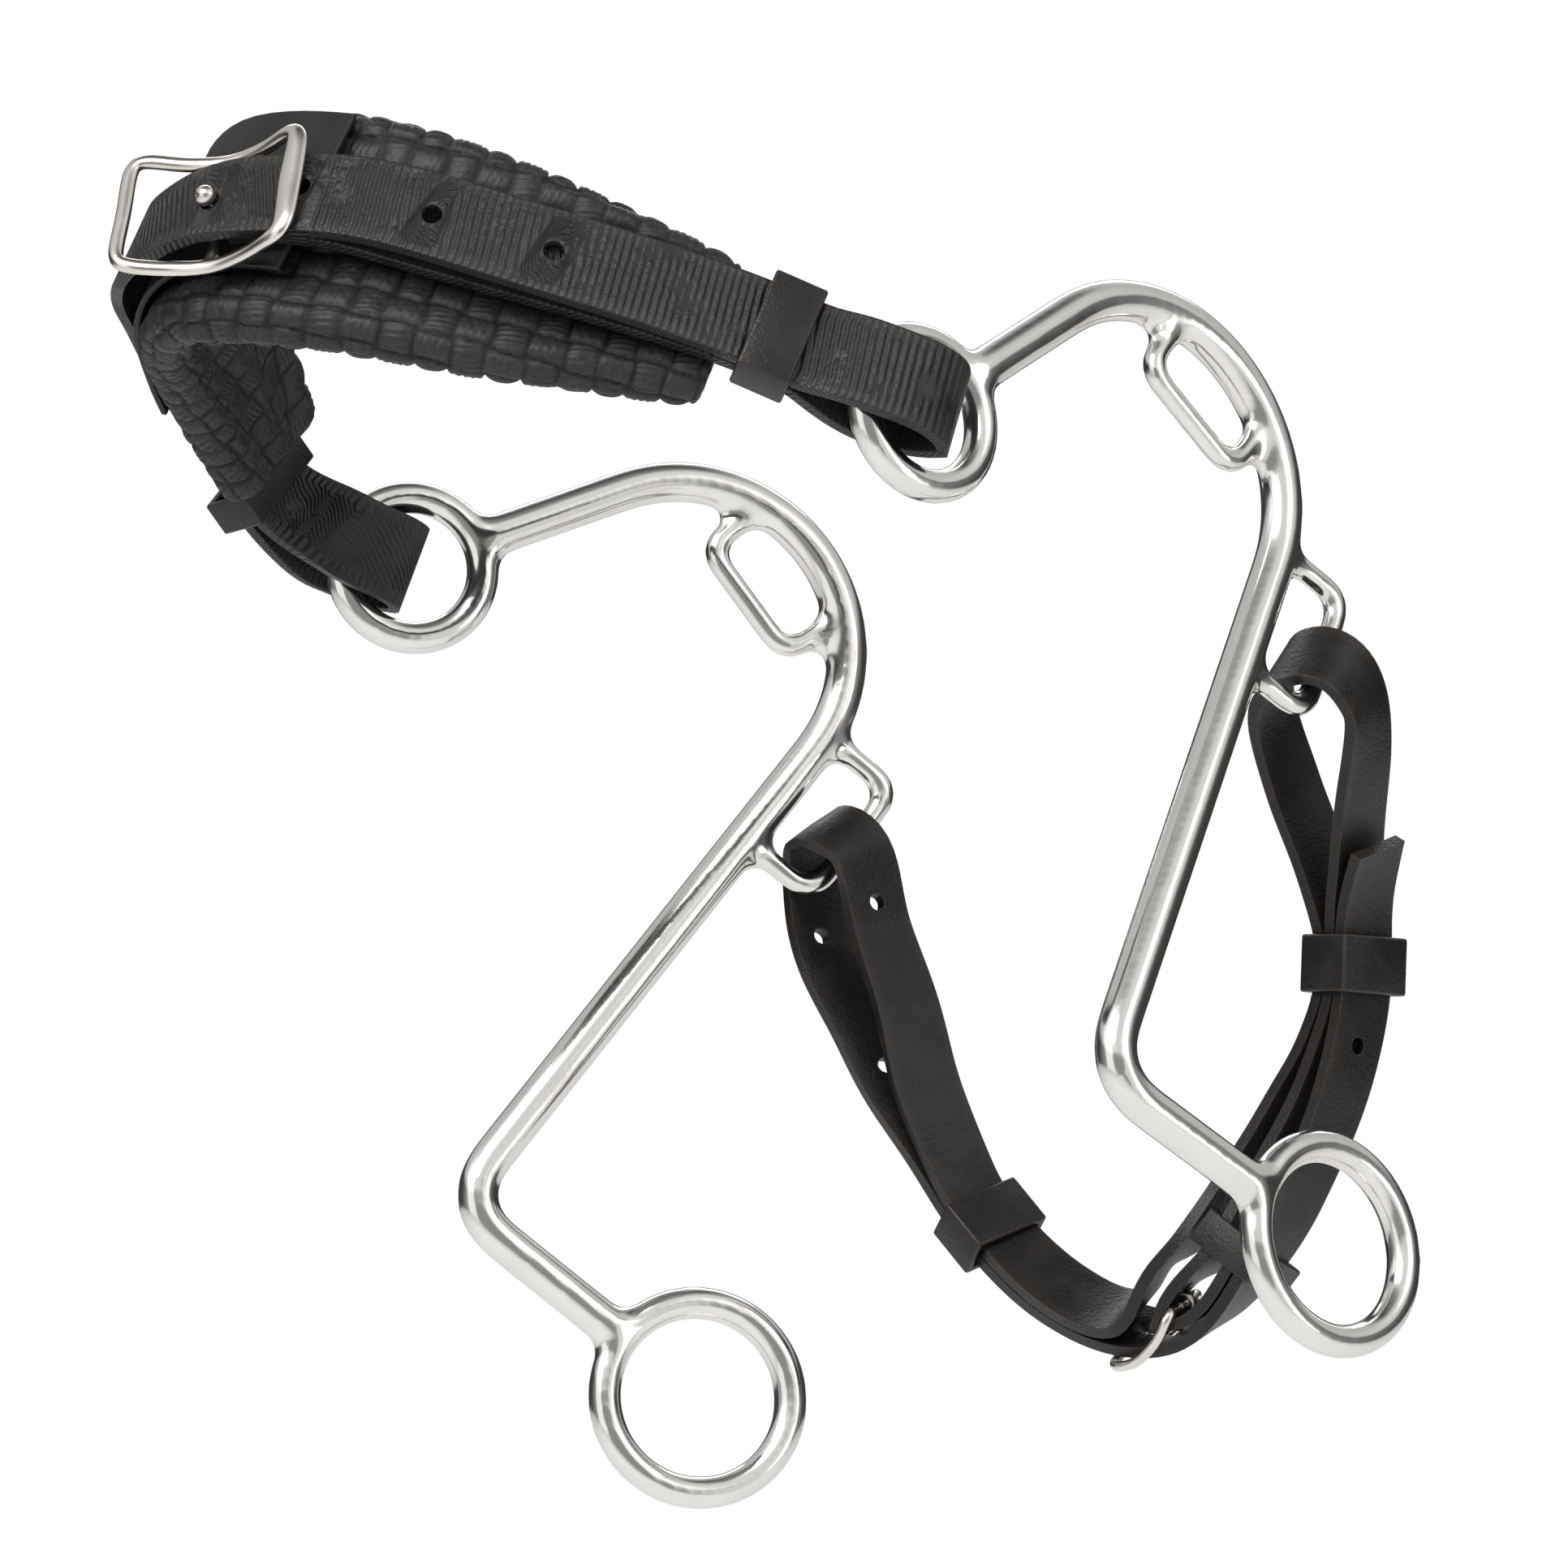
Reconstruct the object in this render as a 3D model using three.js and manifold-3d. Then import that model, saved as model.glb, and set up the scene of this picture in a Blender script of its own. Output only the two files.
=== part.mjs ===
// A bitless hackamore: two steel cheek pieces (shanks) hang from a padded noseband and are joined
// behind the jaw by a curb strap. Millimetres, +Z up, as worn on a level head.
// The origin is the middle of the pad's inner face, where it lies on the bridge of the nose.
// +X is to the right as the horse is seen from its near side, +Y is away from the viewer.

import * as THREE from 'three';
import { mergeVertices } from 'three/addons/utils/BufferGeometryUtils.js';
import Module from 'manifold-3d';

const wasm = await Module();
wasm.setup();

const GAP = 0.3;                    // between pieces that touch
const DEG = Math.PI / 180;

// ---- driving sizes: cheek pieces -------------------------------------------------------------

// One cheek piece lies in its own plane: x runs back along the jaw, y up, and the noseband
// ring's centre is its zero.
const BAR_R = 5;                    // round bar of the cheek
const RING_WIRE_R = 4;              // round bar of both rings
const SLOT_WIRE_R = 2.7;            // wire of the two strap slots
const NOSE_RING_R = 18;             // to the middle of the wire
const REIN_RING_R = 23.5;
const REIN_RING_AT = [68, -205.5];
const ARC_AT = [69, -17.2];         // centre of the big bend over the cheek
const ARC_R = 41.5;
const ARM_SLOPE = 21 * DEG;         // the arm rises from the ring to the bend
const SHANK_LEAN = 38.7 * DEG;      // the straight shank leans forward from the vertical
const KNEE_AT = [8.5, -158.5];      // where the shank's and the foot's centre lines cross
const KNEE_R = 12.5;
// A slot is a U of wire: half the distance between its legs, and its run's distance from the bar.
const BRIDLE_SLOT = { half: 16.6, reach: 22, angle: 36 * DEG };
const CURB_SLOT = { half: 17.2, reach: 21.5, along: 12.6 };
const SLOT_CORNER_R = 5;
const SADDLE = 1.5;                 // how far an end that is cut to fit a round bar stops from its middle

// The two cheeks hang a little differently, because the straps give.
const NEAR_CHEEK = { at: [151.1, -21.3, -40.5], back: [0.744, 0.663, 0.078], up: [-0.219, 0.132, 0.967] };
const FAR_CHEEK = { at: [27.3, 107.2, -73.1], back: [0.97, 0.24, -0.026], up: [-0.023, 0.2, 0.979] };

// ---- driving sizes: straps -------------------------------------------------------------------

const NOSE_STRAP = { width: 22, thick: 3 };
const CURB_STRAP = { width: 17, thick: 3 };
const LOOP_WALL = 1.8;              // leather of the keeper loops
const NOSE_HOLE_R = 2.6;
const CURB_HOLE_R = 2.2;

// Each strap assembly follows a line through space: a point, and the direction of the straps'
// width there. Places on it are given as [s, n, w]: millimetres along the line, outward from
// the head, and across the width.
const NOSE_LINE = [                 // from the near ring, over the nose, to the far ring
  [[157.4, -17.8, -44.1], [0.26, 0.4, 0.88]],
  [[135.1, -21.2, -35.9], [0.26, 0.4, 0.88]],
  [[107.7, -22.4, -24], [0.24, 0.42, 0.88]],
  [[58, -24.4, -9.1], [0.22, 0.45, 0.86]],
  [[19.1, -17.4, 0.9], [0.22, 0.5, 0.84]],
  [[-8.9, 2.1, 3.1], [0.25, 0.56, 0.79]],
  [[-20.5, 28.6, -4.7], [0.28, 0.62, 0.73]],
  [[-19, 57.6, -18.8], [0.38, 0.74, 0.54]],
  [[-11.4, 81.6, -36.3], [0.43, 0.72, 0.53]],
  [[-1.6, 93.6, -53.7], [0.36, 0.58, 0.73]],
  [[13, 94.6, -65.7], [0.42, 0.22, 0.88]],
  [[29.4, 98.1, -72.5], [0.42, 0.2, 0.885]],
];
const CURB_LINE = [                 // from the far slot, behind the jaw, to the near slot
  [[124.5, 121.6, -137], [0.76, 0.45, 0.46]],
  [[131.1, 120.6, -147.5], [0.66, 0.6, 0.46]],
  [[135.6, 116.6, -163.5], [0.64, 0.63, 0.42]],
  [[143.1, 111.6, -181.5], [0.76, 0.53, 0.36]],
  [[150.3, 105.6, -201.4], [0.85, 0.38, 0.36]],
  [[159.6, 99.6, -219.1], [0.72, 0.55, 0.42]],
  [[169.7, 93.6, -234.8], [0.6, 0.66, 0.45]],
  [[187.1, 79.6, -250.8], [0.45, 0.68, 0.57]],
  [[204.3, 65.6, -256.8], [0.4, 0.72, 0.52]],
  [[219.5, 55.6, -248.4], [0.38, 0.84, 0.1]],
  [[237, 53.6, -225.8], [0.58, 0.76, -0.3]],
  [[250.9, 57.6, -198.6], [0.7, 0.7, -0.15]],
  [[256.6, 61.6, -170.4], [0.74, 0.67, 0]],
  [[254.1, 61.6, -148.8], [0.7, 0.7, 0.1]],
  [[250.4, 55.6, -125.3], [0.66, 0.66, 0.35]],
  [[248.6, 47.1, -103], [0.46, 0.66, 0.6]],
  [[247.7, 37.1, -93.1], [0.34, 0.57, 0.75]],
];

// ---- materials -------------------------------------------------------------------------------

const steel = new THREE.MeshStandardMaterial({ color: 0xc9c6c0, roughness: 0.22, metalness: 1 });
const leather = new THREE.MeshStandardMaterial({ color: 0x1c1a19, roughness: 0.5, metalness: 0 });
const braid = new THREE.MeshStandardMaterial({ color: 0x232221, roughness: 0.6, metalness: 0 });

const hackamore = new THREE.Group();

function add(parent, name, geometry, material) {
  const mesh = new THREE.Mesh(geometry, material);
  mesh.name = name;
  parent.add(mesh);
  return mesh;
}

// ---- helpers: booleans -----------------------------------------------------------------------

function toSolid(geometry) {
  const bare = geometry.clone();
  bare.deleteAttribute('normal');
  bare.deleteAttribute('uv');
  const merged = mergeVertices(bare, 1e-4);
  return new wasm.Manifold(new wasm.Mesh({
    numProp: 3,
    vertProperties: new Float32Array(merged.attributes.position.array),
    triVerts: new Uint32Array(merged.index.array),
  }));
}

function toGeometry(solid) {
  const mesh = solid.getMesh();
  const geometry = new THREE.BufferGeometry();
  geometry.setAttribute('position', new THREE.BufferAttribute(Float32Array.from(mesh.vertProperties), 3));
  geometry.setIndex(Array.from(mesh.triVerts));
  geometry.computeVertexNormals();
  return geometry;
}

const cut = (geometry, ...tools) =>
  toGeometry(tools.reduce((solid, tool) => solid.subtract(toSolid(tool)), toSolid(geometry)));
const join = (...geometries) =>
  toGeometry(geometries.slice(1).reduce((solid, other) => solid.add(toSolid(other)), toSolid(geometries[0])));

// ---- helpers: tubes and lofts ----------------------------------------------------------------

function circleShape(radius, sides) {
  const shape = new THREE.Shape();
  for (let i = 0; i < sides; i++) {
    const a = (i + 0.5) / sides * 2 * Math.PI;
    shape[i ? 'lineTo' : 'moveTo'](radius * Math.cos(a), radius * Math.sin(a));
  }
  shape.closePath();
  return shape;
}

function tube(curve, radius, sides, steps) {
  return new THREE.ExtrudeGeometry(circleShape(radius, sides), { extrudePath: curve, steps, curveSegments: 1 });
}

// A closed skin over a row of rings of points. An open row gets a cap at each end.
function loft(rings, closed = false) {
  const count = rings[0].length;
  const points = rings.flat();
  const triangles = [];
  const spans = closed ? rings.length : rings.length - 1;
  for (let i = 0; i < spans; i++) {
    const next = (i + 1) % rings.length;
    for (let j = 0; j < count; j++) {
      const k = (j + 1) % count;
      const [a, b, c, d] = [i * count + j, i * count + k, next * count + k, next * count + j];
      triangles.push(a, b, c, a, c, d);
    }
  }
  if (!closed) {
    for (const [i, flip] of [[0, true], [rings.length - 1, false]]) {
      const middle = rings[i].reduce((sum, p) => sum.add(p), new THREE.Vector3()).divideScalar(count);
      points.push(middle);
      for (let j = 0; j < count; j++) {
        const [a, b] = [i * count + j, i * count + (j + 1) % count];
        triangles.push(points.length - 1, flip ? b : a, flip ? a : b);
      }
    }
  }
  if (signedVolume(points, triangles) < 0) triangles.reverse();
  const geometry = new THREE.BufferGeometry().setFromPoints(points);
  geometry.setIndex(triangles);
  geometry.computeVertexNormals();
  return geometry;
}

function signedVolume(points, triangles) {
  let volume = 0;
  for (let i = 0; i < triangles.length; i += 3) {
    const [a, b, c] = [points[triangles[i]], points[triangles[i + 1]], points[triangles[i + 2]]];
    volume += a.dot(b.clone().cross(c)) / 6;
  }
  return volume;
}

// ---- helpers: strap lines --------------------------------------------------------------------

class StrapLine {
  constructor(stations) {
    this.path = new THREE.CatmullRomCurve3(stations.map(([p]) => new THREE.Vector3(...p)), false, 'centripetal');
    this.path.arcLengthDivisions = 600;
    this.widths = stations.map(([, w]) => new THREE.Vector3(...w).normalize());
    this.length = this.path.getLength();
  }

  // The point, the direction along, the direction across and the outward direction at s.
  frame(s) {
    const t = this.path.getUtoTmapping(Math.min(Math.max(s / this.length, 0), 1));
    const at = t * (this.widths.length - 1);
    const i = Math.min(Math.floor(at), this.widths.length - 2);
    const along = this.path.getTangent(t);
    const across = this.widths[i].clone().lerp(this.widths[i + 1], at - i);
    across.addScaledVector(along, -across.dot(along)).normalize();
    const out = across.clone().cross(along).normalize();
    return { point: this.path.getPoint(t), along, across, out };
  }

  place(s, n = 0, w = 0) {
    const f = this.frame(s);
    return f.point.addScaledVector(f.out, n).addScaledVector(f.across, w);
  }

  // A strap that runs through the given [s, n, w] places.
  strap(route, { width, thick }, steps) {
    const plan = new THREE.CatmullRomCurve3(route.map(([s, n, w = 0]) => new THREE.Vector3(s, n, w)),
      false, 'centripetal');
    const places = plan.getSpacedPoints(steps);
    const centres = places.map((q) => this.place(q.x, q.y, q.z));
    const rings = centres.map((centre, i) => {
      const along = centres[Math.min(i + 1, steps)].clone().sub(centres[Math.max(i - 1, 0)]).normalize();
      const across = this.frame(places[i].x).across;
      across.addScaledVector(along, -across.dot(along)).normalize();
      const out = across.clone().cross(along);
      const corner = (w, n) => centre.clone().addScaledVector(across, w * width / 2)
        .addScaledVector(out, n * thick / 2);
      return [corner(-1, -1), corner(1, -1), corner(1, 1), corner(-1, 1)];
    });
    return loft(rings);
  }

  // A round rod through the given [s, n, w] places.
  rod(route, radius, sides, steps) {
    const places = new THREE.CatmullRomCurve3(route.map((p) => this.place(...p)), false, 'centripetal');
    return tube(places, radius, sides, steps);
  }

  // Puts a piece that is drawn with x across, y outward and z back along the line at s.
  seat(mesh, s, n = 0) {
    const f = this.frame(s);
    mesh.position.copy(f.point.addScaledVector(f.out, n));
    mesh.quaternion.setFromRotationMatrix(new THREE.Matrix4().makeBasis(f.across, f.out, f.along.negate()));
    return mesh;
  }

  // A round hole's tool, square to the line at s, from n0 to n1.
  drill(radius, s, n0, n1, w = 0) {
    const f = this.frame(s);
    const tool = new THREE.CylinderGeometry(radius, radius, n1 - n0, 10);
    tool.applyQuaternion(new THREE.Quaternion().setFromUnitVectors(new THREE.Vector3(0, 1, 0), f.out));
    const middle = this.place(s, (n0 + n1) / 2, w);
    return tool.translate(middle.x, middle.y, middle.z);
  }
}

// A closed wire through points: flat(t) is its half size in the wire's own plane, tall its half
// size towards up.
function closedWire(corners, up, flat, tall, steps) {
  const path = new THREE.CatmullRomCurve3(corners, true, 'centripetal');
  const rings = path.getSpacedPoints(steps).slice(0, steps).map((centre, i) => {
    const side = path.getTangentAt(i / steps).cross(up).normalize();
    const rise = side.clone().cross(path.getTangentAt(i / steps));
    return Array.from({ length: 8 }, (_, k) => {
      const a = (k + 0.5) / 8 * 2 * Math.PI;
      return centre.clone().addScaledVector(side, flat(i / steps) * Math.cos(a)).addScaledVector(rise, tall * Math.sin(a));
    });
  });
  return loft(rings, true);
}

// A keeper: a flat loop of leather round a stack of straps.
function keeperLoop(inWidth, inDepth, length) {
  const box = (w, d) => [[-w, -d], [w, -d], [w, d], [-w, d]].map(([x, y]) => new THREE.Vector2(x / 2, y / 2));
  const shape = new THREE.Shape(box(inWidth + 2 * LOOP_WALL, inDepth + 2 * LOOP_WALL));
  shape.holes.push(new THREE.Path(box(inWidth, inDepth)));
  return new THREE.ExtrudeGeometry(shape, { depth: length, bevelEnabled: false }).translate(0, 0, -length / 2);
}

// ---- cheek pieces ----------------------------------------------------------------------------

// The shorter arc round a centre from one angle to another, in a cheek's plane.
class ArcCurve3 extends THREE.Curve {
  constructor(centre, radius, fromAngle, toAngle) {
    super();
    Object.assign(this, { centre, radius, fromAngle, toAngle });
  }
  getPoint(t, target = new THREE.Vector3()) {
    const a = this.fromAngle + (this.toAngle - this.fromAngle) * t;
    return target.set(this.centre.x + this.radius * Math.cos(a), this.centre.y + this.radius * Math.sin(a), 0);
  }
}

const flat = ([x, y]) => new THREE.Vector3(x, y, 0);
const polar = (angle, length) => [length * Math.cos(angle), length * Math.sin(angle)];
const plus = (a, b) => [a[0] + b[0], a[1] + b[1]];
const onArc = (angle) => plus(ARC_AT, polar(angle, ARC_R));
const stepTowards = (a, b, distance) => plus(a, polar(Math.atan2(b[1] - a[1], b[0] - a[0]), distance));

// A run of straights whose corners are rounded to a radius.
function roundedRun(corners, radius) {
  const pieces = [];
  let from = flat(corners[0]);
  for (let i = 1; i < corners.length - 1; i++) {
    const corner = flat(corners[i]);
    const before = flat(corners[i - 1]).sub(corner).normalize();
    const after = flat(corners[i + 1]).sub(corner).normalize();
    const half = before.angleTo(after) / 2;
    const start = corner.clone().addScaledVector(before, radius / Math.tan(half));
    const end = corner.clone().addScaledVector(after, radius / Math.tan(half));
    const centre = corner.clone().addScaledVector(before.clone().add(after).normalize(), radius / Math.sin(half));
    const a0 = Math.atan2(start.y - centre.y, start.x - centre.x);
    const turn = Math.atan2(end.y - centre.y, end.x - centre.x) - a0;
    const a1 = a0 + Math.atan2(Math.sin(turn), Math.cos(turn));
    pieces.push(new THREE.LineCurve3(from, start), new ArcCurve3(centre, radius, a0, a1));
    from = end;
  }
  pieces.push(new THREE.LineCurve3(from, flat(corners.at(-1))));
  return pieces;
}

function pathOf(pieces) {
  const path = new THREE.CurvePath();
  for (const piece of pieces) path.add(piece);
  return path;
}

function cheekPath() {
  const armAngle = Math.PI / 2 + ARM_SLOPE;
  const armTop = onArc(armAngle);
  const armFoot = plus(armTop, polar(ARM_SLOPE, -armTop[0] / Math.cos(ARM_SLOPE)));
  const armStart = stepTowards(armFoot, armTop, NOSE_RING_R + SADDLE);
  const footEnd = stepTowards(REIN_RING_AT, KNEE_AT, REIN_RING_R + SADDLE);
  return pathOf([
    new THREE.LineCurve3(flat(armStart), flat(armTop)),
    new ArcCurve3(flat(ARC_AT), ARC_R, armAngle, -SHANK_LEAN),
    ...roundedRun([onArc(-SHANK_LEAN), KNEE_AT, footEnd], KNEE_R),
  ]);
}

// A slot's wire, from a point on the bar's centre line: out leads away from the bar.
function slotWire(root, out, slot) {
  const legStart = SADDLE;
  const at = (side, reach) => plus(root, plus(polar(out, reach), polar(out - Math.PI / 2, side * slot.half)));
  const corners = [at(-1, legStart), at(-1, slot.reach), at(1, slot.reach), at(1, legStart)];
  return tube(pathOf(roundedRun(corners, SLOT_CORNER_R)), SLOT_WIRE_R, 8, 34);
}

const ring = (radius, [x, y], wire = RING_WIRE_R) => new THREE.TorusGeometry(radius, wire, 11, 30).translate(x, y, 0);

function cheek(side, { at, back, up }) {
  const x = new THREE.Vector3(...back).normalize();
  const z = x.clone().cross(new THREE.Vector3(...up)).normalize();
  const group = new THREE.Group();
  group.position.set(...at);
  group.quaternion.setFromRotationMatrix(new THREE.Matrix4().makeBasis(x, z.clone().cross(x), z));
  const shankDown = -Math.PI / 2 - SHANK_LEAN;
  const curbRoot = plus(onArc(-SHANK_LEAN), polar(shankDown, CURB_SLOT.along));
  const bar = cut(tube(cheekPath(), BAR_R, 10, 70), ring(NOSE_RING_R, [0, 0], RING_WIRE_R + GAP),
    ring(REIN_RING_R, REIN_RING_AT, RING_WIRE_R + GAP));
  const barRoom = tube(cheekPath(), BAR_R + GAP, 10, 70);
  const bridleWire = slotWire(onArc(BRIDLE_SLOT.angle), BRIDLE_SLOT.angle + Math.PI, BRIDLE_SLOT);
  const curbWire = slotWire(curbRoot, shankDown + Math.PI / 2, CURB_SLOT);
  add(group, `${side}_cheek_bar`, bar, steel);
  add(group, `${side}_nose_ring`, ring(NOSE_RING_R, [0, 0]), steel);
  add(group, `${side}_rein_ring`, ring(REIN_RING_R, REIN_RING_AT), steel);
  add(group, `${side}_bridle_slot`, cut(bridleWire, barRoom), steel);
  add(group, `${side}_curb_slot`, cut(curbWire, barRoom), steel);
  hackamore.add(group);
}

cheek('near', NEAR_CHEEK);
cheek('far', FAR_CHEEK);

// ---- noseband --------------------------------------------------------------------------------

const nose = new StrapLine(NOSE_LINE);

const PAD = { from: 57, to: nose.length - 46, roll: 6.5, endHalf: 18.5, midHalf: 33 };
const PATCH = { from: 155, to: nose.length - 81, n: 8, width: 46, shift: 5 };

// The pad's section at s: a roll along each edge, a low ridge between them on the inner face.
function padSection(s) {
  const f = (s - PAD.from) / (PAD.to - PAD.from);
  const belly = Math.sin(Math.PI * Math.min(Math.max(f, 0), 1));
  const far = Math.max(0, Math.sin(2 * Math.PI * (f - 0.5)));
  const half = PAD.endHalf + (PAD.midHalf - PAD.endHalf) * belly ** 0.9 - 2 * far;
  const lean = 4 * far;
  const c = half - PAD.roll;
  const arc = (side, angles) => angles.map((deg) =>
    [side * (c + PAD.roll * Math.cos(deg * DEG)), PAD.roll * Math.sin(deg * DEG)]);
  const outline = [
    ...arc(1, [-120, -80, -40, 0, 40, 80, 120]),
    [0.5 * c, 3.6], [-0.5 * c, 3.6],
    ...arc(-1, [120, 80, 40, 0, -40, -80, -120]),
    [-0.5 * c, -4.4], [0, -6], [0.5 * c, -4.4],
  ];
  return outline.map(([w, n]) => nose.place(s, n, w + lean));
}

const padSteps = 36;
const padRings = [];
for (let i = 0; i <= padSteps; i++) padRings.push(padSection(PAD.from + (PAD.to - PAD.from) * i / padSteps));
add(hackamore, 'noseband_pad', loft(padRings), braid);

const patchRoute = [PATCH.from, (PATCH.from + PATCH.to) / 2, PATCH.to].map((s) => [s, PATCH.n, PATCH.shift]);
add(hackamore, 'noseband_patch', nose.strap(patchRoute, { width: PATCH.width, thick: 1.6 }, 22), leather);

// One long strap: from its free end under the buckle, round the near ring, back over the
// buckle and the nose, round the far ring, and back to the far keeper.
const noseStrapRoute = [
  [168.5, 12.3, -2.6], [160, 12, -1.6], [148, 10.8], [132, 8.6], [100, 8.4], [60, 8.4], [46, 8.4],
  [38, 8.1], [31, 4.4], [22, 1.3], [10, 2], [1, 9], [8, 16], [20, 17], [28, 16], [36, 12.5], [43, 12.2],
  [58, 12.2], [80, 13.2], [110, 14.4], [145, 15], [157, 15.3, -2], [166, 16, -3.8], [174, 16.3, -5.4],
  [188, 16, -8.8], [205, 14.6, -6.2], [224, 12.6, -2], [248, 12.2],
  ...[[71, 10.6], [47, 9], [37, 9.6], [31, 11.6], [23, 17], [14, 19.4], [5, 18], [-0.5, 12],
    [4, 4], [13, 1.6], [23, 1.8], [32, 4.6], [39, 5.8], [45, 5.8]].map(([back, n]) => [nose.length - back, n]),
];

// The strap buckle has its own tilt: along points to its far end, across is the stud bar's
// direction and its zero is the middle of that bar.
const CONWAY = { at: [-11.8, -14.1, 5.8], along: [-0.905, 0.4, -0.15], across: [0.2, 0.5, 0.84] };
const CONWAY_FRAME = { half: 22, halfWidth: 15.2, corner: 2.6, flat: 2.1, endFlat: 3.4, tall: 1.7, rise: 7 };
const STUD_BAR_R = 1.2;
const conway = new THREE.Group();
const conwayAlong = new THREE.Vector3(...CONWAY.along).normalize();
const conwayOut = new THREE.Vector3(...CONWAY.across).cross(conwayAlong).normalize();
conway.position.set(...CONWAY.at);
conway.quaternion.setFromRotationMatrix(
  new THREE.Matrix4().makeBasis(conwayAlong.clone().cross(conwayOut), conwayOut, conwayAlong.clone().negate()));
conway.updateMatrix();
hackamore.add(conway);

const studHole = new THREE.CylinderGeometry(NOSE_HOLE_R, NOSE_HOLE_R, 11, 10).translate(0, 6.5, 0);
const noseHoles = [
  ...[99, 126.5, 154].map((s) => nose.drill(NOSE_HOLE_R, s, 12.9, 19)),
  studHole.applyMatrix4(conway.matrix),
];
add(hackamore, 'noseband_strap', cut(nose.strap(noseStrapRoute, NOSE_STRAP, 130), ...noseHoles), leather);

nose.seat(add(hackamore, 'noseband_near_keeper', keeperLoop(22.8, 7.8, 13), leather), 45, 10.3);
nose.seat(add(hackamore, 'noseband_far_keeper', keeperLoop(24.6, 9.4, 9), leather), nose.length - 41, 7.8);

// The frame's ends cross over the strap; its stud bar runs under it.
const { half, halfWidth, corner, rise } = CONWAY_FRAME;
const quarter = [[half, 0, 1], [half, halfWidth - corner, 1], [half - corner * 0.3, halfWidth - corner * 0.3, 0.98],
  [half - corner, halfWidth, 0.9], [half * 0.45, halfWidth, 0.3], [0, halfWidth, 0]];
const buckleRound = [[1, 1], [-1, 1], [-1, -1], [1, -1]].flatMap(([z, x], i) => {
  const turn = quarter.map(([along, across, lift]) => new THREE.Vector3(x * across, rise * lift, z * along));
  return (i % 2 ? turn.reverse() : turn).slice(i === 0 ? 0 : 1, i === 3 ? -1 : undefined);
});
const studBar = new THREE.CylinderGeometry(STUD_BAR_R, STUD_BAR_R, 2 * halfWidth, 8).rotateZ(Math.PI / 2);
// The wire starts in the middle of the end that lies on the strap, which is hammered broad.
const frameFlat = (t) => CONWAY_FRAME.flat +
  (CONWAY_FRAME.endFlat - CONWAY_FRAME.flat) * Math.max(0, 1 - Math.min(t, 1 - t) / 0.12) ** 0.5;
const wire = closedWire(buckleRound, new THREE.Vector3(0, 1, 0), frameFlat, CONWAY_FRAME.tall, 60);
add(conway, 'conway_frame', join(wire, studBar), steel);

// The stud: a pin through the strap's hole with a ball on it.
const STUD = { pin: 1.5, ball: 2.7, foot: STUD_BAR_R + GAP, top: 10 };
const studProfile = [[0, STUD.foot], [STUD.pin, STUD.foot]];
for (let deg = -55; deg < 90; deg += 24) {
  studProfile.push([STUD.ball * Math.cos(deg * DEG), STUD.top - STUD.ball * (1 - Math.sin(deg * DEG))]);
}
studProfile.push([0, STUD.top]);
add(conway, 'conway_stud',
  new THREE.LatheGeometry(studProfile.map(([x, y]) => new THREE.Vector2(x, y)), 14), steel);

// ---- curb strap ------------------------------------------------------------------------------

const curb = new StrapLine(CURB_LINE);

const HINGE_BAR = { s: 177.6, n: 0 };
const FRONT_BAR = { s: 160.5, n: 5.6 };
const CURB_BUCKLE = { halfWidth: 11.6, wire: 1.4 };
const TONGUE_R = 1.1;

// One long strap: from the fold round the buckle's hinge bar, up and round the near slot, down
// the inside to the far slot, and back outside through the buckle to its free end.
const curbStrapRoute = [
  [206, 3.4], [190, 3.8], [181, 4.2], [172.6, 0], [181, -4.2], [195, -3], [215, -3.4], [237, -2.6], [250, -1.6],
  [262, 0], [280, 0.2], [300, 5.2], [325, 12, -1], [342, 12.4, -3], [353.4, 7, -3], [356.3, 0, -3],
  [351, -8, -3], [338, -14, -2], [318, -12.5], [298, -6.5], [282, -3.5], [263, -3.5], [256, -4.8],
  [248, -6.4], [237, -9], [217, -10.5], [200, -11], [188, -11.4], [178, -10.8], [170, -7], [164, -3.4],
  [154, -1.8], [130, -1.8], [115, -1.8], [102, -1.8], [84, -2.8, 1.6], [60, -5, 3.4], [35, -7.4, 3.4],
  [20, -9.4, 2.8], [9, -11.6, 1.8], [1.6, -4.4, -0.4], [9, 4.6, -1.6], [20, 6.2, -3.6], [35, 5.8, -5.2], [60, 3.8, -3.5],
  [84, 2.2, -0.4], [102, 1.8], [130, 1.8], [150, 1.8], [158, 2], [163, 2.8], [170, 5.6], [178, 7.9],
  [192, 7.5], [208, 6.8], [225, 5], [245, 3.8], [262, 3.5], [280, 3.7], [292, 7.8], [302, 12.4],
];
const tongueSlot = new THREE.Mesh(new THREE.BoxGeometry(3.8, 10.6, 12));
curb.seat(tongueSlot, 176.6, 0);
tongueSlot.updateMatrix();
const curbHoles = [
  ...[163, 165, 167, 169, 171].map((s) => curb.drill(1.9, s, 1, 9)),
  curb.drill(CURB_HOLE_R, 25, -12, -6, 3),
  curb.drill(CURB_HOLE_R, 28, 3, 9, -5.3),
  curb.drill(CURB_HOLE_R, 64, 1, 7, -3),
  curb.drill(CURB_HOLE_R, 253, 1.6, 7),
];
const curbStrap = curb.strap(curbStrapRoute, CURB_STRAP, 210);
add(hackamore, 'curb_strap',
  cut(curbStrap, tongueSlot.geometry.applyMatrix4(tongueSlot.matrix), ...curbHoles), leather);
curb.seat(add(hackamore, 'curb_far_keeper', keeperLoop(18.6, 8, 14), leather), 112, 0);
curb.seat(add(hackamore, 'curb_near_keeper', keeperLoop(18.4, 11.2, 14), leather), 272.5, 0);
curb.seat(add(hackamore, 'curb_fixed_keeper', keeperLoop(19.6, 15.8, 9), leather), 197, 2.2);

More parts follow.
